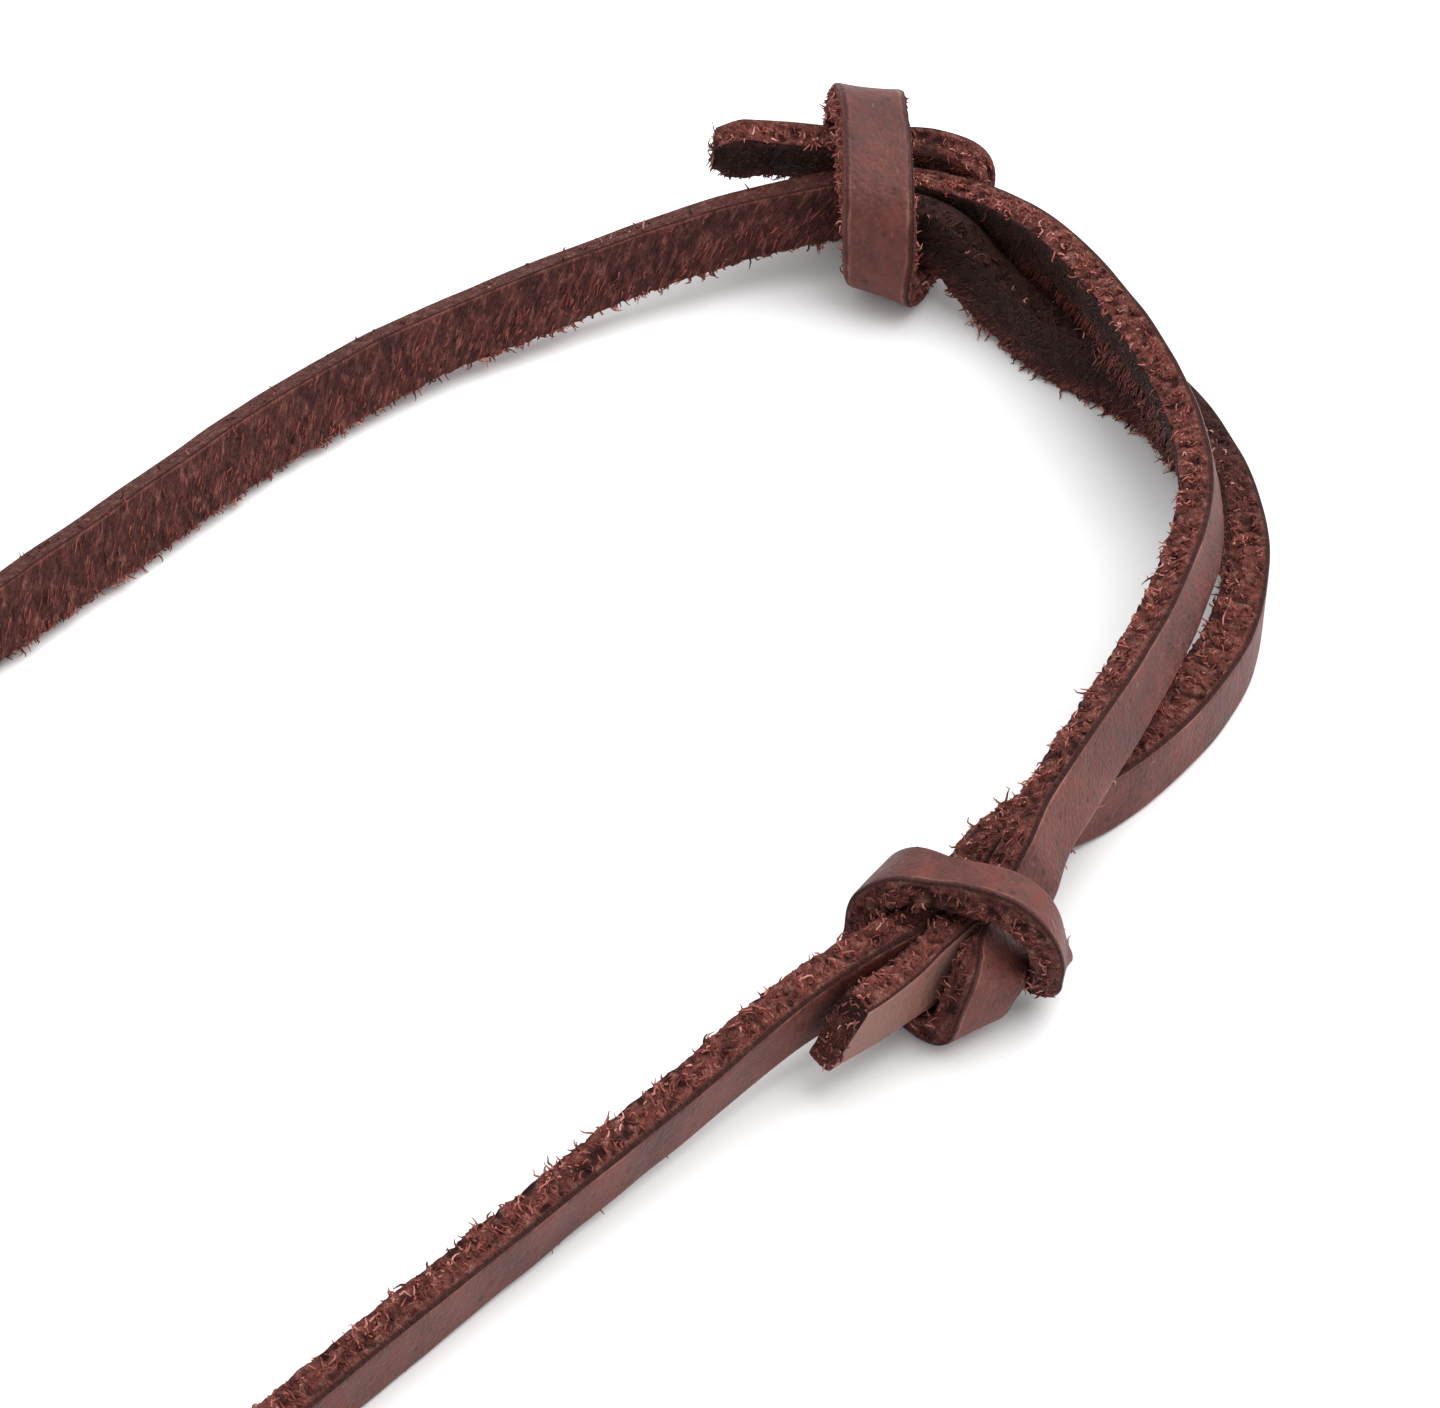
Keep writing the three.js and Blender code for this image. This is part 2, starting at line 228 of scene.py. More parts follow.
def lace(name, run, width, thickness, seed, slant=0.0, worn=0.0, slim=None, swollen=None, trimmed=None,
         shade_painted=None, ragged=None, combed=0.0, cup=0.0, faded=0.0):
    """The leather itself, ring by ring, with its raw edges and nap standing proud by turns. Its
    attributes tell the fibres where they grow and which way they are combed.

    slant: how far the last end is cut back, for each mm across
    worn: mm over which the first end narrows to half its width
    slim: narrower by a share until a length and by another near the last end, where the rear edge is
        drawn in by a share too
    swollen: a stretch whose flesh side stands out by so many mm
    trimmed: a stretch whose upper edge was cut clean
    shade_painted: a stretch darkened with painted shade, and how dark its upper edge, lower edge and flesh
    are
    ragged: a stretch whose lower edge is torn into longer fibres
    combed: how strongly the cut edges' fibres are drawn along the lace
    cup: mm by which both edges stand towards the grain
    faded: how much paler the grain is"""
    centres, edges, length = run
    count = len(centres)
    tangents = unit(np.gradient(centres, axis=0))
    edges = unit(edges - np.sum(edges * tangents, 1, keepdims=True) * tangents)
    sides = np.cross(edges, tangents)
    section = lace_section(width, thickness)
    around, face = len(section), section[:, 4].astype(int)
    x, y, out_x, out_y = section[:, :4].T       # x is up to the upper cut edge, y out to the grain

    # how wide and how thick the strap is along its length
    s = np.linspace(0, length, count)
    line = np.stack([s, 0 * s, 0 * s], 1)
    wide = 1 + 0.045 * ripple(line, 4.0, seed)
    thick = 1 + 0.05 * ripple(line, 5.0, seed + 3)
    if worn:
        wide *= 1 - 0.5 * np.clip(1 - s / worn, 0, 1) ** 1.4
    if slim:
        wide *= (1 - slim["by"] * np.clip((slim["until"] + 3 - s) / 6, 0, 1)
                 - slim["last_by"] * np.clip((s - length + 15) / 5, 0, 1))
    across = x * wide[:, None]
    if slim:
        drawn_in = slim["rear_by"] * np.clip((s - length + 17) / 6, 0, 1)
        across -= drawn_in[:, None] * np.minimum(x, 0)
    deep = y * thick[:, None] + cup * (x / width * 2) ** 2
    if swollen:
        gone = np.clip((s - swollen["start"]) / (swollen["end"] - swollen["start"]), 0, 1)
        deep -= (swollen["by"] * np.sin(math.pi * gone) ** 2)[:, None] * (y < 0)

    # where it is raw, darkened with painted shade, and torn
    raw, painted_shade, torn = np.ones((count, around)), np.zeros((count, around)), np.zeros((count, around))
    if trimmed:
        raw -= 0.85 * between(s, trimmed["start"], trimmed["end"], 12, 12)[:, None] * (x > 0)
    raw *= np.where((face == CUT) & (y > thickness * 0.27), 0.2, 1.0)
    raw = raw.ravel()
    # painted shade: darkness put on the flesh and cut edges where the lace lies in shadow in the knots and
    # bend
    if shade_painted:
        painted_shade += between(s, shade_painted["start"], shade_painted["end"], 4, 12)[:, None]
        on_flesh = shade_painted["flesh"] * np.clip(1.1 + x / width * 1.9, 0.15, 1)
        on_cut = np.where(x < 0, shade_painted["lower"], shade_painted["upper"])
        painted_shade *= np.where(face == FLESH, on_flesh, np.where(face == CUT, on_cut, 0.0))
    if ragged:
        torn += between(s, ragged["start"], ragged["end"], 4, 4)[:, None]
        torn *= ragged["by"] * ((x < -width * 0.25) & (face != GRAIN))

    # roughness in flat coordinates round the strap, so that it follows the lace
    flat = np.stack([np.repeat(s, around), np.tile(x, count), np.tile(y, count)], 1)
    lumps = ripple(flat, 1.15, seed + 1)
    nubs = 0.5 - np.abs(ripple(flat, 0.62, seed + 2)) * 2.2
    fine = ripple(flat, 0.36, seed + 6)
    strokes = ripple(flat * (1, 0.3, 0.3), 0.42, seed + 4)
    smooth = ripple(flat, 3.4, seed + 5)
    cut, flesh, grain = (np.tile((face == f).astype(float), count) for f in (CUT, FLESH, GRAIN))
    height = (cut * raw * (0.15 * lumps + 0.2 * nubs + 0.1 * fine)
              + flesh * (0.13 * strokes + 0.06 * lumps + 0.03 * fine))
    proud = (height + grain * 0.06 * smooth).reshape(count, around)
    shift = slant * across * np.clip(1 - (length - s)[:, None] / 3.2, 0, 1)
    place = (centres[:, None] + edges[:, None] * (across + proud * out_x)[..., None]
             + sides[:, None] * (deep + proud * out_y)[..., None] + tangents[:, None] * shift[..., None])
    verts = place.reshape(-1, 3)
    faces = [(i * around + j, (i + 1) * around + j, (i + 1) * around + (j + 1) % around,
              i * around + (j + 1) % around) for i in range(count - 1) for j in range(around)]
    ends, end_faces = closed_ends(verts, around, tangents, seed)

    # how many fibres grow at each point, how long they are, and which way they are combed
    fuzz = np.where(face == CUT, 1.0, np.where(face == FLESH, 0.6, 0.0))
    fuzz[(face == CUT) & (y > thickness * 0.33)] = 0.08
    fuzz = np.tile(fuzz, count) * np.clip(raw, 0.12, 1) * np.clip(0.8 + 0.9 * lumps, 0.2, 1.5)
    fuzz *= 1 + 2 * torn.ravel()
    nap_reach = 1.0 + 0.5 * np.clip(x / width * 2.5 + 0.7, -0.6, 1)
    reach = (np.where(face == FLESH, nap_reach, 0.8) + 1.2 * torn).ravel()
    lying = np.where(face == FLESH, 1.0, np.where((x > 0) & (y > 0), 0.85, 0.0))
    along = np.where(face == CUT, combed, np.where(face == FLESH, -0.8, 0.0))
    comb = (edges[:, None] * (np.where(face == FLESH, -0.9, 0.0) - 0.7 * torn)[..., None]
            + sides[:, None] * (np.where(face == CUT, -0.3, 0.0) - 0.5 * torn)[..., None]
            + tangents[:, None] * along[:, None])

    # the same for the ends' points, and all of it stored for the fibres and the materials
    at_ends = np.ones(len(ends))
    walked = np.concatenate([np.repeat(s, around), [s[end] for _, _, end, _, _ in ends]])
    over = np.concatenate([np.tile(np.where(face == CUT, y, x), count),
                           [x[n] * size for _, _, _, n, size in ends]])
    readings = {
        "fuzz": np.concatenate([fuzz, at_ends * 1.3]),
        "walked": walked,
        "proud": np.concatenate([np.clip(height * 2.2 + 0.5, 0, 1), at_ends * 0.45]),
        "painted_shade": np.concatenate([painted_shade.ravel(), at_ends * 0.5]),
        "hanging": np.concatenate([np.tile(lying, count), at_ends * 0.0]),
        "faded": np.full(len(verts) + len(ends), faded),
        "reach": np.concatenate([reach, at_ends * (2.0 if worn else 1.1)]),
    }
    comb = np.vstack([comb.reshape(-1, 3), [way_out * 0.4 for _, way_out, _, _, _ in ends]])
    verts = np.vstack([verts, [point for point, _, _, _, _ in ends]])
    verts[:, 2] = np.maximum(verts[:, 2], TABLE_GAP)

    mesh = bpy.data.meshes.new(name)
    mesh.from_pydata((verts * MM).tolist(), [], faces + end_faces)
    mesh.polygons.foreach_set("material_index", [*np.tile(face, count - 1), *[CUT] * len(end_faces)])
    mesh.polygons.foreach_set("use_smooth", [True] * len(mesh.polygons))
    for material in (grain_leather, flesh_leather, cut_leather):
        mesh.materials.append(material)
    for key, values in readings.items():
        mesh.attributes.new(key, "FLOAT", "POINT").data.foreach_set("value", values)
    mesh.attributes.new("comb", "FLOAT_VECTOR", "POINT").data.foreach_set("vector", comb.ravel())
    strap = mesh.uv_layers.new(name="strap")
    corners = np.empty(len(mesh.loops), int)
    mesh.loops.foreach_get("vertex_index", corners)
    strap.data.foreach_set("uv", np.stack([walked[corners], over[corners]], 1).ravel() / 10)
    mesh.update()
    piece = bpy.data.objects.new(name, mesh)
    bpy.context.scene.collection.objects.link(piece)
    return piece


def stain(red, green, blue):
    """A dye's colour, given as it looks on a screen from 0 to 255."""
    linear = [((c / 255 + 0.055) / 1.055) ** 2.4 if c > 10 else c / 255 / 12.92 for c in (red, green, blue)]
    return (*linear, 1.0)


def add(tree, kind, ins=None, **settings):
    """A node with its settings, and each input linked or given its value."""
    made = tree.nodes.new(kind)
    for name, value in settings.items():
        setattr(made, name, value)
    for key, value in (ins or {}).items():
        if isinstance(value, bpy.types.NodeSocket):
            tree.links.new(value, made.inputs[key])
        else:
            made.inputs[key].default_value = value
    return made


def ranged(tree, value, low, high, at_low, at_high):
    """A value held between low and high, and turned into one from at_low to at_high."""
    ins = {0: value, 1: low, 2: high, 3: at_low, 4: at_high}
    return add(tree, "ShaderNodeMapRange", ins).outputs[0]


def reckoned(tree, operation, *values, **settings):
    """Up to three values put together by one operation."""
    return add(tree, "ShaderNodeMath", dict(enumerate(values)), operation=operation, **settings).outputs[0]


def reading(tree, name):
    """A value that the leather carries from point to point."""
    return add(tree, "ShaderNodeAttribute", attribute_name=name).outputs["Fac"]


def cloudy(tree, vector, scale, detail, **more):
    """Soft random clouds, from 0 to 1."""
    ins = {"Vector": vector, "Scale": scale, "Detail": detail, **more}
    return add(tree, "ShaderNodeTexNoise", ins).outputs["Fac"]


def dotted(tree, vector, scale):
    """How far it is to the nearest of many scattered dots."""
    ins = {"Vector": vector, "Scale": scale, "Randomness": 1.0}
    return add(tree, "ShaderNodeTexVoronoi", ins).outputs["Distance"]


def shades(tree, value, *stops):
    """A run of dyes, each at its place from 0 to 1."""
    ramp = add(tree, "ShaderNodeValToRGB", {0: value})
    while len(ramp.color_ramp.elements) < len(stops):
        ramp.color_ramp.elements.new(0.5)
    for element, (place, colour) in zip(ramp.color_ramp.elements, stops):
        element.position, element.color = place, colour
    return ramp.outputs[0]


def mix(tree, factor, one, other):
    """One colour going over into another."""
    return add(tree, "ShaderNodeMix", {0: factor, 6: one, 7: other}, data_type="RGBA").outputs[2]


def bumpy(tree, strength, distance, height):
    """The surface's normal over small bumps of so many metres."""
    ins = {"Strength": strength, "Distance": distance, "Height": height}
    return add(tree, "ShaderNodeBump", ins).outputs[0]


def started_group(name, ins, outs):
    """An empty shader group with a vector and number inputs, and number outputs."""
    group = bpy.data.node_groups.new(name, "ShaderNodeTree")
    group.interface.new_socket(name="Vector", in_out="INPUT", socket_type="NodeSocketVector")
    for key, value in ins.items():
        made = group.interface.new_socket(name=key, in_out="INPUT", socket_type="NodeSocketFloat")
        made.default_value = value
    for key in outs:
        group.interface.new_socket(name=key, in_out="OUTPUT", socket_type="NodeSocketFloat")
    return group, group.nodes.new("NodeGroupInput").outputs, group.nodes.new("NodeGroupOutput").inputs


def tangle_group():
    """Short fibres lying over each other: ridges of two sizes, and the few that catch the light."""
    group, given, out = started_group("fibre tangle", {"Scale": 1.0, "Twist": 0.6}, ("Height", "Glint"))
    height = 0.0
    for size, share in ((1.0, 0.55), (2.3, 0.45)):
        scale = reckoned(group, "MULTIPLY", given["Scale"], size)
        cloud = cloudy(group, given["Vector"], scale, 2.0, Roughness=0.55, Distortion=given["Twist"])
        bent = reckoned(group, "ABSOLUTE", reckoned(group, "SUBTRACT", cloud, 0.5))
        ridge = ranged(group, bent, 0.0, 0.16, 1.0, 0.0)
        height = reckoned(group, "MULTIPLY_ADD", ridge, share, height)
    spots = ranged(group, cloudy(group, given["Vector"], given["Scale"], 1.0), 0.52, 0.66, 0.0, 1.0)
    group.links.new(height, out["Height"])
    group.links.new(reckoned(group, "MULTIPLY", spots, height), out["Glint"])
    return group


def mottle_group():
    """Dye that took unevenly: broad clouds with finer ones in them."""
    group, given, out = started_group("uneven dye", {"Scale": 300.0, "Contrast": 1.0}, ("Cloud",))
    cloud = cloudy(group, given["Vector"], given["Scale"], 5.0, Roughness=0.62)
    off = reckoned(group, "SUBTRACT", cloud, 0.5)
    wide = reckoned(group, "MULTIPLY", given["Contrast"], 3.0)
    group.links.new(reckoned(group, "MULTIPLY_ADD", off, wide, 0.5, use_clamp=True), out["Cloud"])
    return group


fibre_tangle, uneven_dye = tangle_group(), mottle_group()


def tangled(tree, vector, scale, twist):
    """The height and glint of tangled fibres."""
    ins = {"Vector": vector, "Scale": scale, "Twist": twist}
    return add(tree, "ShaderNodeGroup", ins, node_tree=fibre_tangle).outputs


def mottled(tree, vector, scale, contrast):
    """The clouds of uneven dye."""
    ins = {"Vector": vector, "Scale": scale, "Contrast": contrast}
    return add(tree, "ShaderNodeGroup", ins, node_tree=uneven_dye).outputs["Cloud"]


def stretched(tree, vector, scale):
    return add(tree, "ShaderNodeMapping", {"Vector": vector, "Scale": scale}).outputs[0]


def material_of(name, roughness, sheen=0.0, tint=(1, 1, 1, 1)):
    """A dull finish: the material, its tree and shader, and where a point is in the object, in metres,
    and on the strap, in cm."""
    made = bpy.data.materials.new(name)
    made.use_nodes = True
    tree = made.node_tree
    shader = tree.nodes["Principled BSDF"]
    for key, value in {"Roughness": roughness, "Specular IOR Level": 0.22, "Sheen Weight": sheen,
                       "Sheen Roughness": 0.45, "Sheen Tint": tint}.items():
        shader.inputs[key].default_value = value
    place = tree.nodes.new("ShaderNodeTexCoord")
    return made, tree, shader, place.outputs["Object"], place.outputs["UV"]


def grain_material():
    """The smooth side: clouded brown with red veins, pale scuffs and dark specks, a pale line beside
    each cut edge, and dark along the rim."""
    made, tree, shader, place, strap = material_of("grain_leather", 0.5)
    broad = mottled(tree, place, 230.0, 1.1)
    close = mottled(tree, place, 1300.0, 0.9)
    colour = shades(tree, broad, (0.1, stain(72, 36, 32)), (0.5, stain(88, 46, 41)),
                    (0.95, stain(104, 56, 50)))
    finer = shades(tree, close, (0.2, stain(62, 30, 26)), (0.8, stain(106, 60, 53)))
    colour = mix(tree, 0.35, colour, finer)
    red = cloudy(tree, place, 480.0, 3.0, Distortion=1.2)
    colour = mix(tree, ranged(tree, red, 0.56, 0.68, 0.0, 0.45), colour, stain(104, 38, 34))
    scuff = cloudy(tree, stretched(tree, strap, (9, 45, 1)), 1.4, 4.0, Distortion=0.4)
    colour = mix(tree, ranged(tree, scuff, 0.64, 0.74, 0.0, 0.5), colour, stain(142, 102, 90))
    speck = dotted(tree, place, 620.0)
    colour = mix(tree, ranged(tree, speck, 0.1, 0.17, 0.6, 0.0), colour, stain(44, 24, 20))
    across = add(tree, "ShaderNodeSeparateXYZ", {0: strap}).outputs["Y"]
    wavy = reckoned(tree, "MULTIPLY_ADD", close, 0.012, reckoned(tree, "ABSOLUTE", across))
    # a pale line on the grain's rounded corner beside each cut edge
    pale_corner_line = reckoned(tree, "MULTIPLY", ranged(tree, wavy, 0.172, 0.181, 0.0, 1.0),
                      ranged(tree, broad, 0.4, 0.9, 0.05, 0.42))
    colour = mix(tree, pale_corner_line, colour, stain(150, 102, 90))
    colour = mix(tree, ranged(tree, wavy, 0.190, 0.198, 0.0, 0.85), colour, stain(54, 14, 10))
    colour = mix(tree, reading(tree, "faded"), colour, stain(172, 136, 124))
    creases = cloudy(tree, place, 1500.0, 4.0)
    height = reckoned(tree, "MULTIPLY_ADD", creases, 1.6, dotted(tree, place, 3600.0))
    tree.links.new(colour, shader.inputs["Base Color"])
    tree.links.new(ranged(tree, close, 0.0, 1.0, 0.42, 0.62), shader.inputs["Roughness"])
    tree.links.new(bumpy(tree, 0.7, 0.00008, height), shader.inputs["Normal"])
    return made


def with_painted_shade(tree, colour):
    """Painted shade: raw leather darkened down between its fibres, where shade falls in the hollows,
    and along the stretches of the lace that lie in shadow.
    """
    # painted shade, darker where the surface lies lower between the fibres
    hollow_shade = ranged(tree, reading(tree, "proud"), 0.15, 0.6, 0.85, 0.0)
    colour = mix(tree, hollow_shade, colour, stain(26, 9, 8))
    return mix(tree, reckoned(tree, "MULTIPLY", reading(tree, "painted_shade"), 0.85), colour, stain(24, 14, 12))


def flesh_material():
    """The napped side: strokes brushed at a slant, and a painted highlight along the upper edge."""
    made, tree, shader, place, strap = material_of("flesh_leather", 0.9, 0.08, stain(190, 120, 110))
    slanting = add(tree, "ShaderNodeMapping", {"Vector": strap, "Rotation": (0, 0, 0.7)}).outputs[0]
    nap = tangled(tree, stretched(tree, slanting, (26, 7, 1)), 1.0, 0.9)
    broad = mottled(tree, place, 420.0, 1.1)
    colour = shades(tree, nap["Height"], (0.0, stain(34, 14, 13)), (0.4, stain(70, 32, 29)),
                    (1.0, stain(116, 62, 55)))
    finer = shades(tree, broad, (0.15, stain(46, 21, 19)), (0.85, stain(92, 46, 41)))
    colour = mix(tree, 0.3, colour, finer)
    colour = mix(tree, nap["Glint"], colour, stain(150, 92, 82))
    upwards = add(tree, "ShaderNodeSeparateXYZ", {0: strap}).outputs["Y"]
    # a painted highlight along the upper edge of the flesh
    colour = mix(tree, ranged(tree, upwards, 0.172, 0.188, 0.0, 0.75), colour, stain(158, 92, 80))
    tree.links.new(with_painted_shade(tree, colour), shader.inputs["Base Color"])
    tree.links.new(bumpy(tree, 1.0, 0.0003, nap["Height"]), shader.inputs["Normal"])
    return made


def cut_material():
    """The raw edges: matted fibre ends, red-brown, their ridges lighter and gaps darker, partly
    their own colour and partly painted shade and highlight, with pale glints and a dark line of skin.
    """
    made, tree, shader, place, strap = material_of("cut_leather", 0.85, 0.08, stain(200, 120, 105))
    knots = tangled(tree, place, 1900.0, 1.6)
    broad = mottled(tree, place, 600.0, 1.0)
    # the tangle's ridges lighter and its gaps darker: partly the fibres' own colour, partly painted shade
    # and highlight
    colour = shades(tree, knots["Height"], (0.0, stain(46, 17, 15)), (0.45, stain(128, 60, 52)),
                    (1.0, stain(182, 108, 97)))
    finer = shades(tree, broad, (0.2, stain(84, 40, 35)), (0.8, stain(152, 84, 75)))
    colour = mix(tree, 0.3, colour, finer)
    colour = mix(tree, knots["Glint"], colour, stain(194, 134, 122))
    outwards = add(tree, "ShaderNodeSeparateXYZ", {0: strap}).outputs["Y"]
    colour = mix(tree, ranged(tree, outwards, 0.066, 0.084, 0.0, 0.85), colour, stain(42, 14, 12))
    tree.links.new(with_painted_shade(tree, colour), shader.inputs["Base Color"])
    tree.links.new(bumpy(tree, 1.0, 0.0004, knots["Height"]), shader.inputs["Normal"])
    return made


def fibre_material():
    """Loose fibres: each has its own tone, and the lace's painted shade darkens all but the palest."""
    made, tree, shader, *_ = material_of("loose_fibre", 0.6)
    tone = reading(tree, "tone")
    colour = shades(tree, tone, (0.0, stain(56, 24, 21)), (0.45, stain(130, 64, 56)),
                    (0.8, stain(174, 102, 92)), (0.98, stain(200, 140, 129)))
    # the painted shade of the leather below, taken less by the palest fibres
    taken = ranged(tree, tone, 0.86, 0.97, 0.85, 0.15)
    painted_shade = reckoned(tree, "MULTIPLY", reading(tree, "painted_shade"), taken)
    tree.links.new(mix(tree, painted_shade, colour, stain(26, 15, 12)), shader.inputs["Base Color"])
    return made


grain_leather, flesh_leather = grain_material(), flesh_material()
cut_leather, loose_fibre = cut_material(), fibre_material()


def fibre_tree():
    """Loose fibres on raw leather: each is a tapered hair that starts on the surface, follows the
    comb, and curls with its neighbours into small tufts."""
    tree = bpy.data.node_groups.new("loose fibres", "GeometryNodeTree")
    sizes = ("Density", "Length", "Radius", "Curl", "Lift", "Spread", "Pale", "From", "To")
    for name, kind in (("Leather", "Geometry"), *((size, "Float") for size in sizes), ("Seed", "Int"),
                       ("Finish", "Material")):
        tree.interface.new_socket(name=name, in_out="INPUT", socket_type="NodeSocket" + kind)
    tree.interface.new_socket(name="Fibres", in_out="OUTPUT", socket_type="NodeSocketGeometry")
    given = tree.nodes.new("NodeGroupInput").outputs

    def made(kind, ins, **settings):
        return add(tree, kind, ins, **settings).outputs[0]

    def times(*values):
        product = values[0]
        for value in values[1:]:
            product = reckoned(tree, "MULTIPLY", product, value)
        return product

    def moved(operation, one, other):
        return made("ShaderNodeVectorMath", {0: one, 1: other}, operation=operation)

    def scaled(vector, by):
        return made("ShaderNodeVectorMath", {0: vector, "Scale": by}, operation="SCALE")

    def chance(low, high, offset, vector=False):
        seed = reckoned(tree, "ADD", given["Seed"], offset)
        node = add(tree, "FunctionNodeRandomValue", {"Seed": seed},
                   data_type="FLOAT_VECTOR" if vector else "FLOAT")
        node.inputs[0 if vector else 2].default_value = (low,) * 3 if vector else low
        node.inputs[1 if vector else 3].default_value = (high,) * 3 if vector else high
        return node.outputs[0 if vector else 1]

    def named(name, kind="FLOAT"):
        node = add(tree, "GeometryNodeInputNamedAttribute", {"Name": name}, data_type=kind)
        return node.outputs["Attribute"]

    def compared(one, operation, other):
        return made("FunctionNodeCompare", {0: one, 1: other}, data_type="FLOAT", operation=operation)

    def stored(points, name, value, kind):
        return made("GeometryNodeStoreNamedAttribute", {"Geometry": points, "Name": name, "Value": value},
                    data_type=kind, domain="POINT")

    # roots, close together where the leather is rawest, in one stretch of the lace
    walked, hanging = named("walked"), named("hanging")
    inside = made("FunctionNodeBooleanMath", {0: compared(walked, "GREATER_EQUAL", given["From"]),
                                              1: compared(walked, "LESS_THAN", given["To"])},
                  operation="AND")
    roots = add(tree, "GeometryNodeDistributePointsOnFaces",
                {"Mesh": given["Leather"], "Selection": inside, "Seed": given["Seed"],
                 "Density": times(given["Density"], named("fuzz"))}, distribute_method="RANDOM").outputs

    # the way that each fibre sets out, flatter where it hangs, and its tone
    flat = ranged(tree, hanging, 0.0, 1.0, 1.0, 0.3)
    lifted = scaled(roots["Normal"], times(given["Lift"], flat))
    loose = scaled(moved("CROSS_PRODUCT", chance(-1, 1, 1, True), roots["Normal"]),
                   times(given["Spread"], flat))
    way = moved("ADD", moved("ADD", lifted, loose), named("comb", "FLOAT_VECTOR"))
    tone = times(ranged(tree, chance(0, 1, 2), 0.0, 1.0, given["Pale"], 1.0),
                 ranged(tree, hanging, 0.0, 1.0, 1.0, 0.58))
    points = stored(roots["Points"], "tone", tone, "FLOAT")
    points = stored(points, "own", chance(0, 9, 3, True), "FLOAT_VECTOR")
    turn = made("FunctionNodeAlignRotationToVector", {"Vector": way}, axis="Z")

    # straight hairs, most of them short
    straight = made("GeometryNodeCurvePrimitiveLine", {"Start": (0, 0, 0), "End": (0, 0, 1)})
    straight = made("GeometryNodeResampleCurve", {"Curve": straight, "Count": 6})
    odd = reckoned(tree, "POWER", chance(0, 1, 4), 3.0)
    size = times(reckoned(tree, "MULTIPLY_ADD", odd, 0.7, 0.65), named("reach"), given["Length"])
    hairs = made("GeometryNodeInstanceOnPoints",
                 {"Points": points, "Instance": straight, "Rotation": turn, "Scale": size})
    hairs = made("GeometryNodeRealizeInstances", {0: hairs})

    # bent more and more towards their tips, neighbours nearly alike, and kept above the table
    up_it = tree.nodes.new("GeometryNodeSplineParameter").outputs["Factor"]
    here = tree.nodes.new("GeometryNodeInputPosition").outputs[0]
    clump = moved("ADD", scaled(here, 1900.0), scaled(named("own", "FLOAT_VECTOR"), 0.07))
    bend = add(tree, "ShaderNodeTexNoise", {"Vector": clump, "Scale": 1.0, "Detail": 1.0}).outputs["Color"]
    slack = ranged(tree, hanging, 0.0, 1.0, 1.0, 0.45)
    bend = scaled(moved("SUBTRACT", bend, (0.5, 0.5, 0.5)),
                  times(up_it, given["Curl"], given["Length"], slack))
    goal = moved("MAXIMUM", moved("ADD", here, bend), (-9, -9, 0.00004))
    hairs = made("GeometryNodeSetPosition", {"Geometry": hairs, "Position": goal})

    # given their thickness, and made one mesh with its finish
    circle = made("GeometryNodeCurvePrimitiveCircle", {"Resolution": 3, "Radius": 1.0})
    taper = times(ranged(tree, up_it, 0.35, 1.0, 1.0, 0.3), given["Radius"])
    hairs = made("GeometryNodeCurveToMesh",
                 {"Curve": hairs, "Profile Curve": circle, "Fill Caps": True, "Scale": taper})
    hairs = made("GeometryNodeSetShadeSmooth", {0: hairs})
    hairs = made("GeometryNodeRealizeInstances", {0: hairs})
    hairs = made("GeometryNodeSetMaterial", {"Geometry": hairs, "Material": given["Finish"]})
    tree.links.new(hairs, tree.nodes.new("NodeGroupOutput").inputs[0])
    return tree


loose_fibres = fibre_tree()


def fibres(name, leather, seed, stretch=(-1.0, 1e6), density=7.5e6, length=0.6, radius=0.07, curl=3.2,
           lift=0.28, spread=0.9, pale=0.0):
    """The loose fibres of one piece of leather, as a plain mesh of their own."""
    grower = leather.copy()
    grower.data = leather.data.copy()
    bpy.context.scene.collection.objects.link(grower)
    growth = grower.modifiers.new("fibres", "NODES")
    growth.node_group = loose_fibres
    values = {"Density": density, "Length": length * MM, "Radius": radius * MM, "Curl": curl, "Lift": lift,
              "Spread": spread, "Pale": pale, "From": stretch[0], "To": stretch[1], "Seed": seed,
              "Finish": loose_fibre}
    for item in loose_fibres.interface.items_tree:
        if item.in_out == "INPUT" and item.name in values:
            growth[item.identifier] = values[item.name]
    seen = grower.evaluated_get(bpy.context.evaluated_depsgraph_get())
    mesh = bpy.data.meshes.new_from_object(seen)
    grower.modifiers.remove(growth)
    bpy.data.objects.remove(grower)
    mesh.name = name
    piece = bpy.data.objects.new(name, mesh)
    bpy.context.scene.collection.objects.link(piece)
    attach(piece, "root")
    return piece


neck_run = run_of_lace(NECK, 0.3, OUTER, INNER, (0.4, 0.4))
# the upper cut edge along the trimmed stretch is darkened with painted shade
neck_leather = lace("neck_leather", neck_run, LACE_WIDTH, LACE_THICKNESS, 1,
                    trimmed=dict(start=190, end=500),
                    shade_painted=dict(start=190, end=500, upper=0.42, lower=0, flesh=0))
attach(neck_leather, "root")
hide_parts("neck_lace")
third = neck_run[2] / 3
for k, (name, seed, density) in enumerate((("neck_fibres_right", 11, 7e6), ("neck_fibres_front", 12, 3.5e6),
                                           ("neck_fibres_left", 13, 7e6))):
    fibres(name, neck_leather, seed, (third * k, third * (k + 1)), density=density)


# ---------------------------------------------------------------- inner strand
# Between the knots the lace runs double. The inner strand comes out of the upper knot, rides on the
# outer one round the bend and goes into the lower knot, and its end ties that knot. It leans back on
# the outer strand, so that its cut edge is seen.

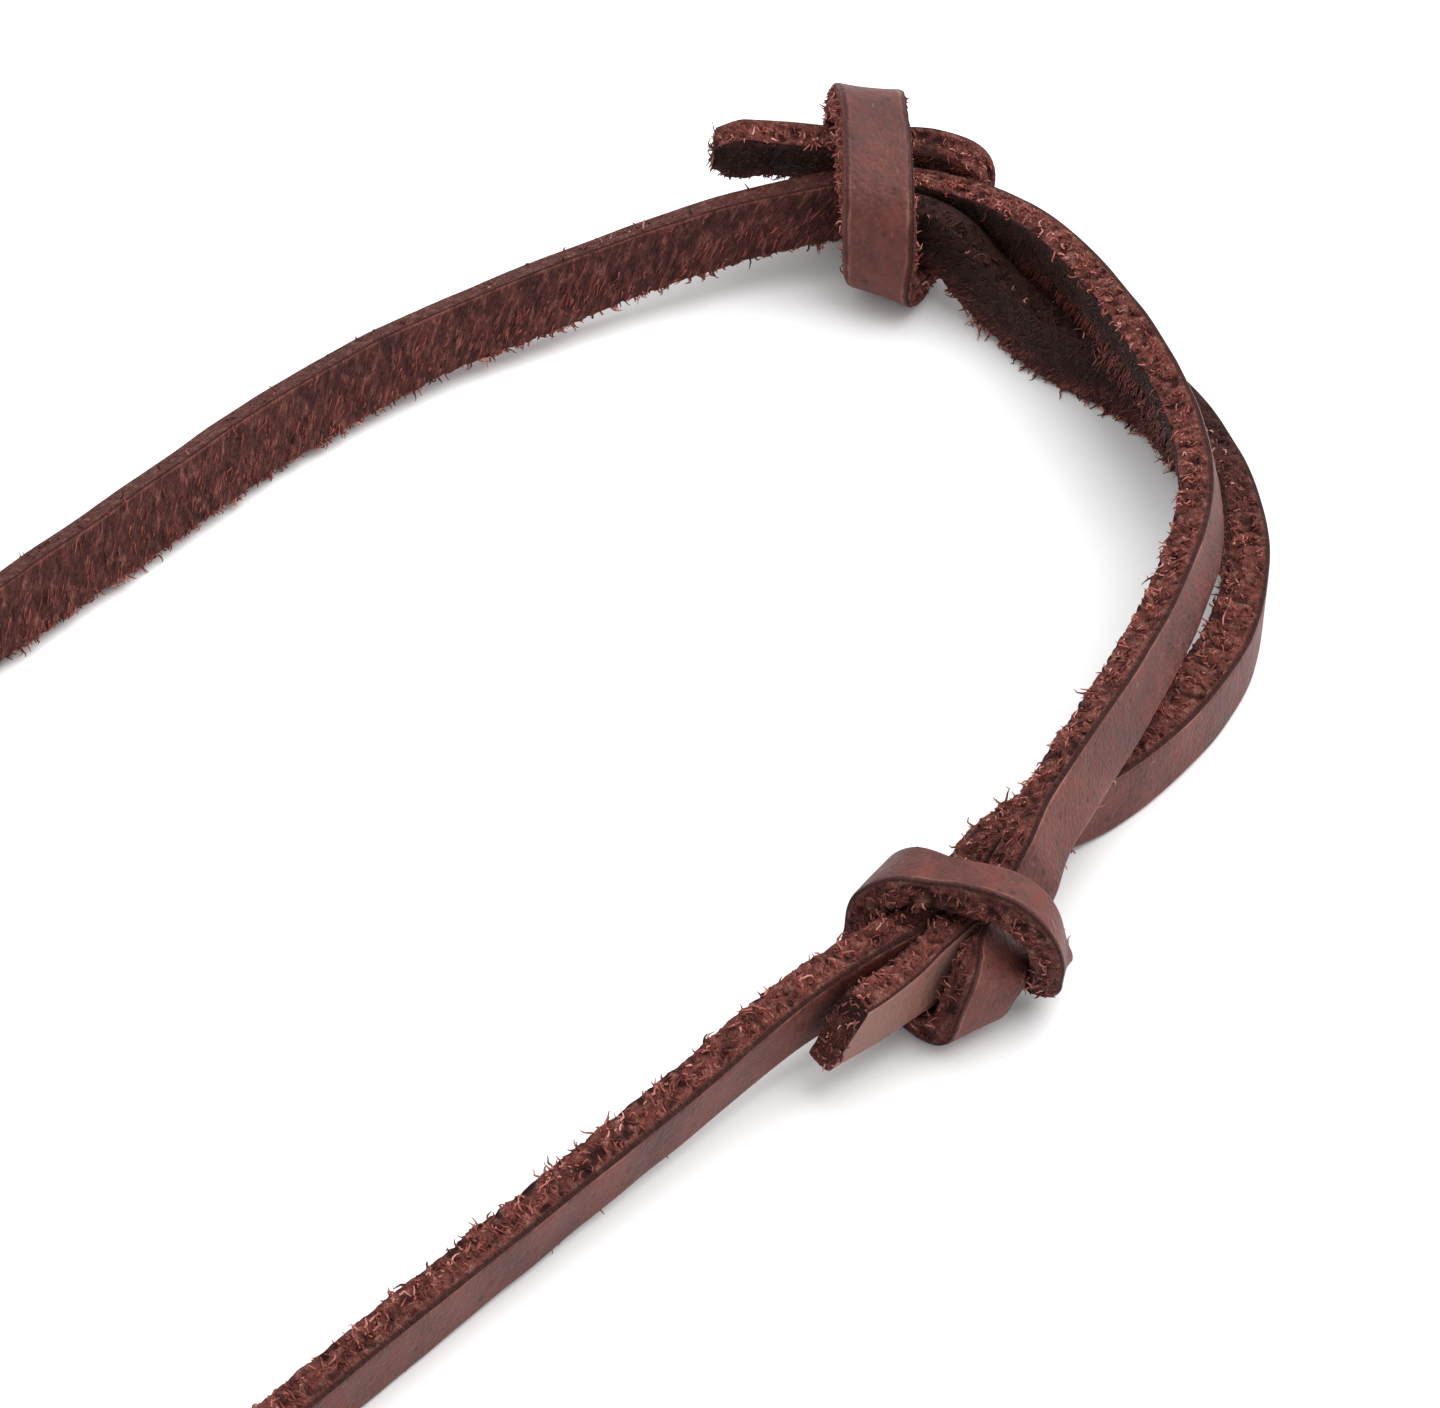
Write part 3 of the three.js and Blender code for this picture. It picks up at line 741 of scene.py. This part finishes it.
LOWER_TUCK = knotted(LOWER_KNOT, [
    (-4.2, 2.7, 5.9, 0.05, -0.36, 0.93), (-2.3, 3.15, 4.8, 0.2, -0.3, 0.93),
    (-0.3, 3.9, 4.2, 0.42, -0.28, 0.85), (1.4, 4.75, 4.3, 0.64, -0.33, 0.68),
    (2.9, 5.4, 4.05, 0.78, -0.22, 0.52), (3.6, 5.35, 3.1, 0.85, -0.2, 0.35),
    (3.8, 4.85, 1.75, 0.92, -0.15, 0.12), (3.6, 3.3, 0.95, 0.97, 0, 0), (3.3, 1.2, 0.95, 0.97, 0.1, 0),
])
inner_run = run_of_lace(INNER, 0.2, NECK, LOWER_TUCK, (0.4, 2.6))
# painted shade on its flesh and lower edge, which lie in shadow near the upper knot
inner_leather = lace("inner_leather", inner_run, LACE_WIDTH, LACE_THICKNESS, 2, combed=0.9,
                     shade_painted=dict(start=0, end=46, upper=0, lower=0.7, flesh=1),
                     ragged=dict(start=6, end=36, by=1.5))
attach(inner_leather, "root")
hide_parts("inner_strand")
fibres("inner_fibres", inner_leather, 21)


# ---------------------------------------------------------------- outer strand
# The other strand between the knots lies on the table under and outside the inner one, from under the
# upper knot to the heart of the lower knot. It is the same leather, and its nap swells at the bend.

outer_run = run_of_lace(OUTER, 0.2, None, NECK, (0.0, 0.4))
# painted shade on its cut edges and flesh near the upper knot, in the inner strand's shadow
outer_leather = lace("outer_leather", outer_run, LACE_WIDTH, LACE_THICKNESS, 3, combed=0.4,
                     swollen=dict(start=30, end=76, by=0.85),
                     shade_painted=dict(start=-5, end=40, upper=1, lower=0.15, flesh=1),
                     ragged=dict(start=3, end=36, by=0.3))
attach(outer_leather, "root")
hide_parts("outer_strand")
fibres("outer_fibres", outer_leather, 31, length=0.5, curl=4.4)


# ---------------------------------------------------------------- upper knot
# One end of the lace lies along the strand, folds back over it at the far side of the knot and wraps
# once round everything, grain outwards. The end is cut short and has frayed. The knot is only leather,
# holds by friction and slides.

UPPER_TAIL = knotted(UPPER_KNOT, [
    (-9.5, 1.8, 7.0, 0, -0.35, 0.94), (-6.4, 2.2, 6.8, 0, -0.5, 0.85), (-2.5, 2.65, 6.0, 0, -0.45, 0.9),
    (0.5, 2.65, 5.85, 0, -0.4, 0.92), (3.1, 2.7, 6.0, 0.1, -0.55, 0.8), (4.9, 2.9, 5.4, 0.5, -0.75, 0.55),
    (5.6, 3.2, 3.9, 0.3, -1, 0.1), (5.2, 3.0, 2.3, 0.7, -0.7, 0.05), (3.8, 2.0, 1.15, 1, -0.3, 0),
])
UPPER_WRAP = knotted(UPPER_KNOT, [
    (3.8, 2.0, 1.15, 1, -0.3, 0), (2.2, 0, 1.15, 1, -0.25, -0.05), (0.7, -3.75, 1.25, 0.93, -0.35, -0.1),
    (0.05, -5.75, 2.6, 0.92, -0.4, -0.12), (-0.1, -5.6, 4.6, 0.96, -0.2, -0.1),
    (-0.3, -4.8, 7.35, 0.97, 0, -0.1), (-0.5, -1.3, 9.3, 0.95, 0.15, -0.2),
    (-0.7, 2.2, 9.8, 0.95, 0.15, -0.25), (-0.9, 5.0, 8.3, 1, 0, -0.1), (-1.2, 5.8, 5.0, 1, 0, 0),
    (-1.3, 4.9, 2.3, 1, 0, 0), (-1.4, 3.5, 1.05, 1, 0, 0), (-1.5, 2.3, 1.0, 1, 0, 0),
])
FRAYED_TIP = knotted(UPPER_KNOT, [(-10.3, 1.8, 7.05, 0, -0.35, 0.94)])
upper_run = run_of_lace(np.vstack([FRAYED_TIP, UPPER_TAIL, UPPER_WRAP[1:]]), 0.2)
# painted shade on the tail's flesh and lower edge, which face down into shadow
upper_leather = lace("upper_knot_leather", upper_run, TURN_WIDTH, TURN_THICKNESS, 4, worn=1.8, cup=0.12,
                     shade_painted=dict(start=-6, end=17, upper=0, lower=0.8, flesh=1),
                     ragged=dict(start=-3, end=10, by=0.25))
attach(upper_leather, "root")
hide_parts("upper_knot_tail", "upper_knot_wrap")
fibres("upper_knot_fibres", upper_leather, 41, length=0.42, curl=4.2, pale=0.2)


# ---------------------------------------------------------------- lower knot
# The inner strand's end tucks down beside the core, passes under it and wraps over the top, and its
# last turn, pulled narrow, is drawn under itself. It is the same leather and holds by friction.

LOWER_WRAP = knotted(LOWER_KNOT, [
    (3.3, 1.2, 0.95, 0.97, 0.1, 0), (3.1, -0.9, 1.0, 0.97, 0.15, 0), (2.9, -2.4, 2.1, 0.97, 0.15, 0.1),
    (2.6, -2.35, 3.9, 0.95, 0.15, 0.15), (2.3, -2.3, 5.6, 0.95, 0.2, 0.15),
    (1.9, -0.95, 7.15, 0.95, 0.25, 0.15), (1.3, 1.3, 7.65, 0.95, 0.28, 0.15),
    (0.6, 3.3, 7.9, 0.95, 0.3, 0.12), (0.1, 5.0, 7.8, 0.9, 0.42, 0.1), (-0.2, 5.9, 7.2, 0.86, 0.5, 0.02),
    (-0.4, 6.5, 6.2, 0.8, 0.58, -0.1), (-0.6, 6.7, 5.1, 0.77, 0.6, -0.2),
    (-1.1, 6.5, 3.8, 0.82, 0.48, -0.1), (-1.8, 6.2, 2.5, 0.9, 0.35, 0), (-2.4, 5.6, 1.7, 0.96, 0.2, 0.05),
])
lower_run = run_of_lace(np.vstack([LOWER_TUCK[1:], LOWER_WRAP[1:]]), 0.2)
# painted shade on its flesh and upper edge inside the knot
lower_leather = lace("lower_knot_leather", lower_run, TURN_WIDTH, TURN_THICKNESS, 5,
                     slim=dict(until=13, by=0.11, last_by=0.2, rear_by=0.4),
                     shade_painted=dict(start=-6, end=60, upper=0.4, lower=0, flesh=1))
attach(lower_leather, "root")
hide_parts("lower_knot_tuck", "lower_knot_wrap")
fibres("lower_knot_fibres", lower_leather, 51, length=0.45, curl=3.8)


# ---------------------------------------------------------------- lower tail
# The other end of the lace comes out of the lower knot beside the long run and stops short. It is cut
# at a slant, and the cut shows its dark fibres.

LOWER_TAIL = knotted(LOWER_KNOT, [
    (4.3, 2.7, 4.25, 0, 0.03, 1), (6.5, 2.65, 4.3, 0, 0.15, 1), (9.0, 2.5, 4.35, 0, 0.2, 1),
    (11.4, 2.15, 4.4, 0, 0.22, 1),
])
HIDDEN_START = knotted(LOWER_KNOT, [(1.6, 2.6, 4.2, 0, 0.03, 1)])
tail_run = run_of_lace(np.vstack([HIDDEN_START, LOWER_TAIL]), 0.2)
tail_leather = lace("lower_tail_leather", tail_run, LACE_WIDTH, TURN_THICKNESS, 6, slant=-0.5, faded=0.3)
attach(tail_leather, "root")
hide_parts("lower_knot_tail")
fibres("lower_tail_fibres", tail_leather, 61, length=0.42)


# ---------------------------------------------------------------- table and light
# A pale matt table under the even white light of a tent and one large lamp, so that the shadows under
# the lace are short and very soft. None of it is part of the necklace.

TABLE_HALF, TABLE_GREY, TABLE_ROUGHNESS = 3, 0.9, 0.8
TENT_LIGHT = 0.95
LAMP_SIZE, LAMP_POWER, LAMP_PLACE = 1.4, 15.0, (0.25, 0.55, 0.9)

table = bpy.data.meshes.new("table")
corners = [(x * TABLE_HALF, y * TABLE_HALF, 0) for x, y in ((-1, -1), (1, -1), (1, 1), (-1, 1))]
table.from_pydata(corners, [], [(0, 1, 2, 3)])
table_top = bpy.data.objects.new("table", table)
bpy.context.scene.collection.objects.link(table_top)
pale_table = bpy.data.materials.new("pale_table")
pale_table.use_nodes = True
finish = pale_table.node_tree.nodes["Principled BSDF"].inputs
finish["Base Color"].default_value = (TABLE_GREY, TABLE_GREY, TABLE_GREY, 1)
finish["Roughness"].default_value = TABLE_ROUGHNESS
table.materials.append(pale_table)

tent = bpy.data.worlds.new("tent")
tent.use_nodes = True
background = tent.node_tree.nodes["Background"].inputs
background["Color"].default_value = (1, 1, 1, 1)
background["Strength"].default_value = TENT_LIGHT
bpy.context.scene.world = tent
lamp = bpy.data.lights.new("soft lamp", "AREA")
lamp.size, lamp.energy = LAMP_SIZE, LAMP_POWER
soft_lamp = bpy.data.objects.new("soft lamp", lamp)
soft_lamp.location = LAMP_PLACE
soft_lamp.rotation_euler = (AIM - soft_lamp.location).to_track_quat("-Z", "Y").to_euler()
bpy.context.scene.collection.objects.link(soft_lamp)
bpy.context.scene.view_settings.view_transform = "Standard"

bpy.context.view_layer.update()
